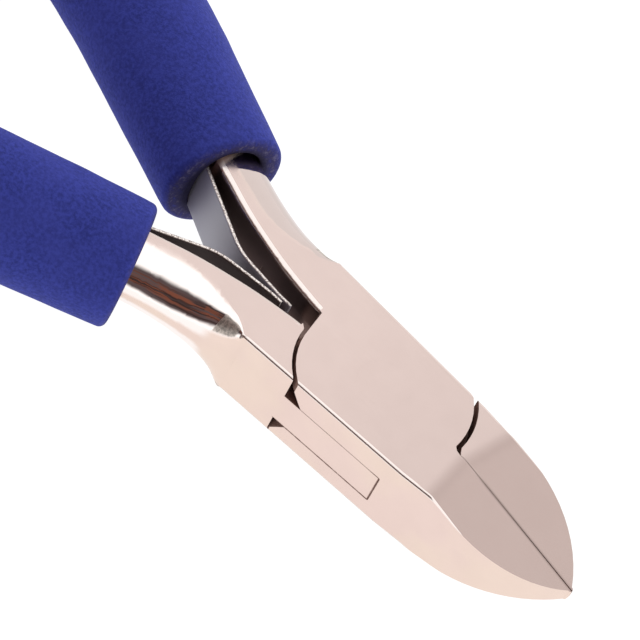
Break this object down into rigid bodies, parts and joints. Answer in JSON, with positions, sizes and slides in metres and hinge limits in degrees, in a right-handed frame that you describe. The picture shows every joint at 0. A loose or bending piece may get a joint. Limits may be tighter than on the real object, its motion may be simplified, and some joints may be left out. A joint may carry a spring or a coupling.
{
  "type": "flush cutter",
  "caption": "Small box-joint side cutter with flush ground jaws, leaf springs between the handles and foam grips.",
  "frame": {"origin": "on the pivot's axis at the joint's lower ground face", "axes": "+X from the pivot to the jaw tips, +Y to the slotted half's handle, +Z out of the flush face"},
  "size_m": [0.12, 0.057, 0.0127],
  "materials": {
    "forged_steel": "satin",
    "pin_steel": "satin",
    "spring_steel": "satin",
    "rivet_steel": "satin",
    "blue_foam": "matte"
  },
  "bodies": {
    "slotted_side": {"slotted_half": "forged_steel", "joint_pin": "pin_steel", "slotted_leaf_spring": "spring_steel", "slotted_spring_rivet": "rivet_steel", "slotted_grip": "blue_foam"},
    "through_side": {"through_half": "forged_steel", "through_leaf_spring": "spring_steel", "through_spring_rivet": "rivet_steel", "through_grip": "blue_foam"}
  },
  "joints": [
    {"name": "jaw_pivot", "type": "hinge", "parent": "slotted_side", "child": "through_side", "pos_m": [0, 0, 0.00366], "axis": [0, 0, 1], "range_deg": [0, 20], "deforming": ["slotted_leaf_spring", "through_leaf_spring"]}
  ]
}
